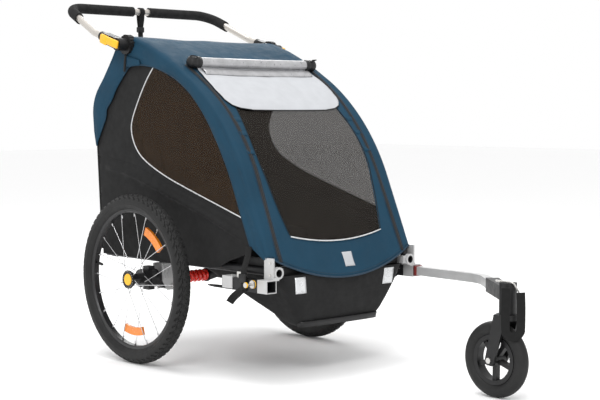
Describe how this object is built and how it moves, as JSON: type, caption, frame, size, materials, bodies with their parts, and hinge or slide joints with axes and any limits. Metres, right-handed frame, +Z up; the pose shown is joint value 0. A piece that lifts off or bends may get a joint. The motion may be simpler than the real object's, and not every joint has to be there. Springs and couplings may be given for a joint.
{
  "type": "child bicycle trailer",
  "caption": "Child bicycle trailer set up as a stroller: fabric cabin on tubular side hoops, sprung spoked wheels, tilting handlebar and a swivelling front caster on a bent arm.",
  "frame": {"origin": "on the ground under the middle of the whole object's box", "axes": "+X forward in the direction of travel, +Y to the left, +Z up"},
  "size_m": [1.593, 0.758, 1.087],
  "materials": {
    "bright_steel": "zinc plated",
    "casting_black": "black textured casting",
    "fabric_black": "coated woven cloth",
    "fabric_blue": "coated woven cloth",
    "foam_black": "closed-cell foam",
    "frame_aluminium": "satin anodised",
    "frame_black": "black powder coat",
    "hub_black": "satin black",
    "plastic_black": "moulded black",
    "reflector_amber": "prismatic amber",
    "rim_black": "satin black anodised",
    "seat_cloth": "padded woven cloth",
    "shade_cloth": "light grey cloth",
    "spoke_steel": "bright drawn wire",
    "spring_red": "red powder coat",
    "tyre_rubber": "matt, moulded tread",
    "webbing_black": "woven webbing",
    "window_film": "tinted clear film",
    "yellow_plastic": "moulded yellow"
  },
  "bodies": {
    "frame": {"axle_beam": "frame_black", "base_rails": "frame_black", "caster_bracket": "plastic_black", "corner_brackets": "frame_aluminium", "crossbars": "frame_black", "fasteners": "bright_steel", "floor_tub": "fabric_black", "front_window": "window_film", "handlebar_sockets": "plastic_black", "harness": "webbing_black", "hinge_tubes": "frame_black", "hitch_pin": "bright_steel", "hitch_strap": "webbing_black", "hood": "fabric_blue", "pivot_brackets": "frame_aluminium", "rear_panel": "fabric_black", "receiver_channels": "frame_aluminium", "seat_back": "seat_cloth", "seat_base": "seat_cloth", "seat_support_bar": "frame_black", "side_hoop_left": "frame_black", "side_hoop_right": "frame_black", "side_panels": "fabric_black", "side_windows": "window_film", "spring_yoke": "plastic_black", "stroller_arm": "frame_aluminium", "sunshade": "shade_cloth", "sunshade_roller": "plastic_black", "suspension_spring_left": "spring_red", "suspension_spring_right": "spring_red", "tow_receivers": "frame_black", "webbing": "webbing_black"},
    "suspension_right": {"swing_arm_right": "casting_black", "axle_right": "bright_steel"},
    "wheel_right": {"tyre_right": "tyre_rubber", "rim_right": "rim_black", "spokes_right": "spoke_steel", "hub_right": "hub_black", "wheel_reflectors_right": "reflector_amber"},
    "button_right": {"release_button_right": "yellow_plastic"},
    "lever_right": {"handlebar_lever_right": "yellow_plastic"},
    "pin_right": {"receiver_pin_right": "bright_steel"},
    "suspension_left": {"swing_arm_left": "casting_black", "axle_left": "bright_steel"},
    "wheel_left": {"tyre_left": "tyre_rubber", "rim_left": "rim_black", "spokes_left": "spoke_steel", "hub_left": "hub_black", "wheel_reflectors_left": "reflector_amber"},
    "button_left": {"release_button_left": "yellow_plastic"},
    "lever_left": {"handlebar_lever_left": "yellow_plastic"},
    "pin_left": {"receiver_pin_left": "bright_steel"},
    "handlebar": {"handlebar_tube": "frame_aluminium", "foam_grips": "foam_black", "handlebar_collars": "plastic_black", "wrist_strap": "webbing_black"},
    "caster": {"caster_fork": "plastic_black", "front_axle": "bright_steel"},
    "front_wheel": {"front_wheel": "plastic_black", "front_tyre": "tyre_rubber"}
  },
  "joints": [
    {"name": "suspension_right", "type": "hinge", "parent": "frame", "child": "suspension_right", "pos_m": [-0.3395, -0.229, 0.222], "axis": [1, 0, 0], "range_deg": [-6, 2], "stiffness_Nm_per_rad": 425, "springref_deg": 1.15, "deforming": ["suspension_spring_right"]},
    {"name": "wheel_spin_right", "type": "hinge", "parent": "suspension_right", "child": "wheel_right", "pos_m": [-0.3395, -0.3525, 0.25], "axis": [0, 1, 0], "continuous": true},
    {"name": "release_button_right", "type": "slide", "parent": "suspension_right", "child": "button_right", "axis": [0, 1, 0], "range_m": [0, 0.004], "stiffness_N_per_m": 800, "springref_m": -0.003},
    {"name": "handlebar_lever_right", "type": "hinge", "parent": "handlebar", "child": "lever_right", "pos_m": [-0.4422, -0.3371, 0.93833], "axis": [0.2916, 0, 0.9565], "range_deg": [0, 60]},
    {"name": "receiver_pin_right", "type": "slide", "parent": "frame", "child": "pin_right", "axis": [0, -1, 0], "range_m": [0, 0.034]},
    {"name": "suspension_left", "type": "hinge", "parent": "frame", "child": "suspension_left", "pos_m": [-0.3395, 0.229, 0.222], "axis": [1, 0, 0], "range_deg": [-2, 6], "stiffness_Nm_per_rad": 425, "springref_deg": -1.15, "deforming": ["suspension_spring_left"]},
    {"name": "wheel_spin_left", "type": "hinge", "parent": "suspension_left", "child": "wheel_left", "pos_m": [-0.3395, 0.3525, 0.25], "axis": [0, 1, 0], "continuous": true},
    {"name": "release_button_left", "type": "slide", "parent": "suspension_left", "child": "button_left", "axis": [0, -1, 0], "range_m": [0, 0.004], "stiffness_N_per_m": 800, "springref_m": -0.003},
    {"name": "handlebar_lever_left", "type": "hinge", "parent": "handlebar", "child": "lever_left", "pos_m": [-0.4422, 0.3371, 0.93833], "axis": [-0.2916, 0, -0.9565], "range_deg": [0, 60]},
    {"name": "receiver_pin_left", "type": "slide", "parent": "frame", "child": "pin_left", "axis": [0, 1, 0], "range_m": [0, 0.034]},
    {"name": "handlebar_pivot", "type": "hinge", "parent": "frame", "child": "handlebar", "pos_m": [-0.4575, 0, 0.943], "axis": [0, 1, 0], "range_deg": [-30, 150]},
    {"name": "caster_swivel", "type": "hinge", "parent": "frame", "child": "caster", "pos_m": [0.7325, 0.045, 0.222], "axis": [0, 0, 1], "continuous": true, "deforming": ["hitch_strap"]},
    {"name": "front_wheel_spin", "type": "hinge", "parent": "caster", "child": "front_wheel", "pos_m": [0.6965, 0.045, 0.1], "axis": [0, 1, 0], "continuous": true}
  ]
}
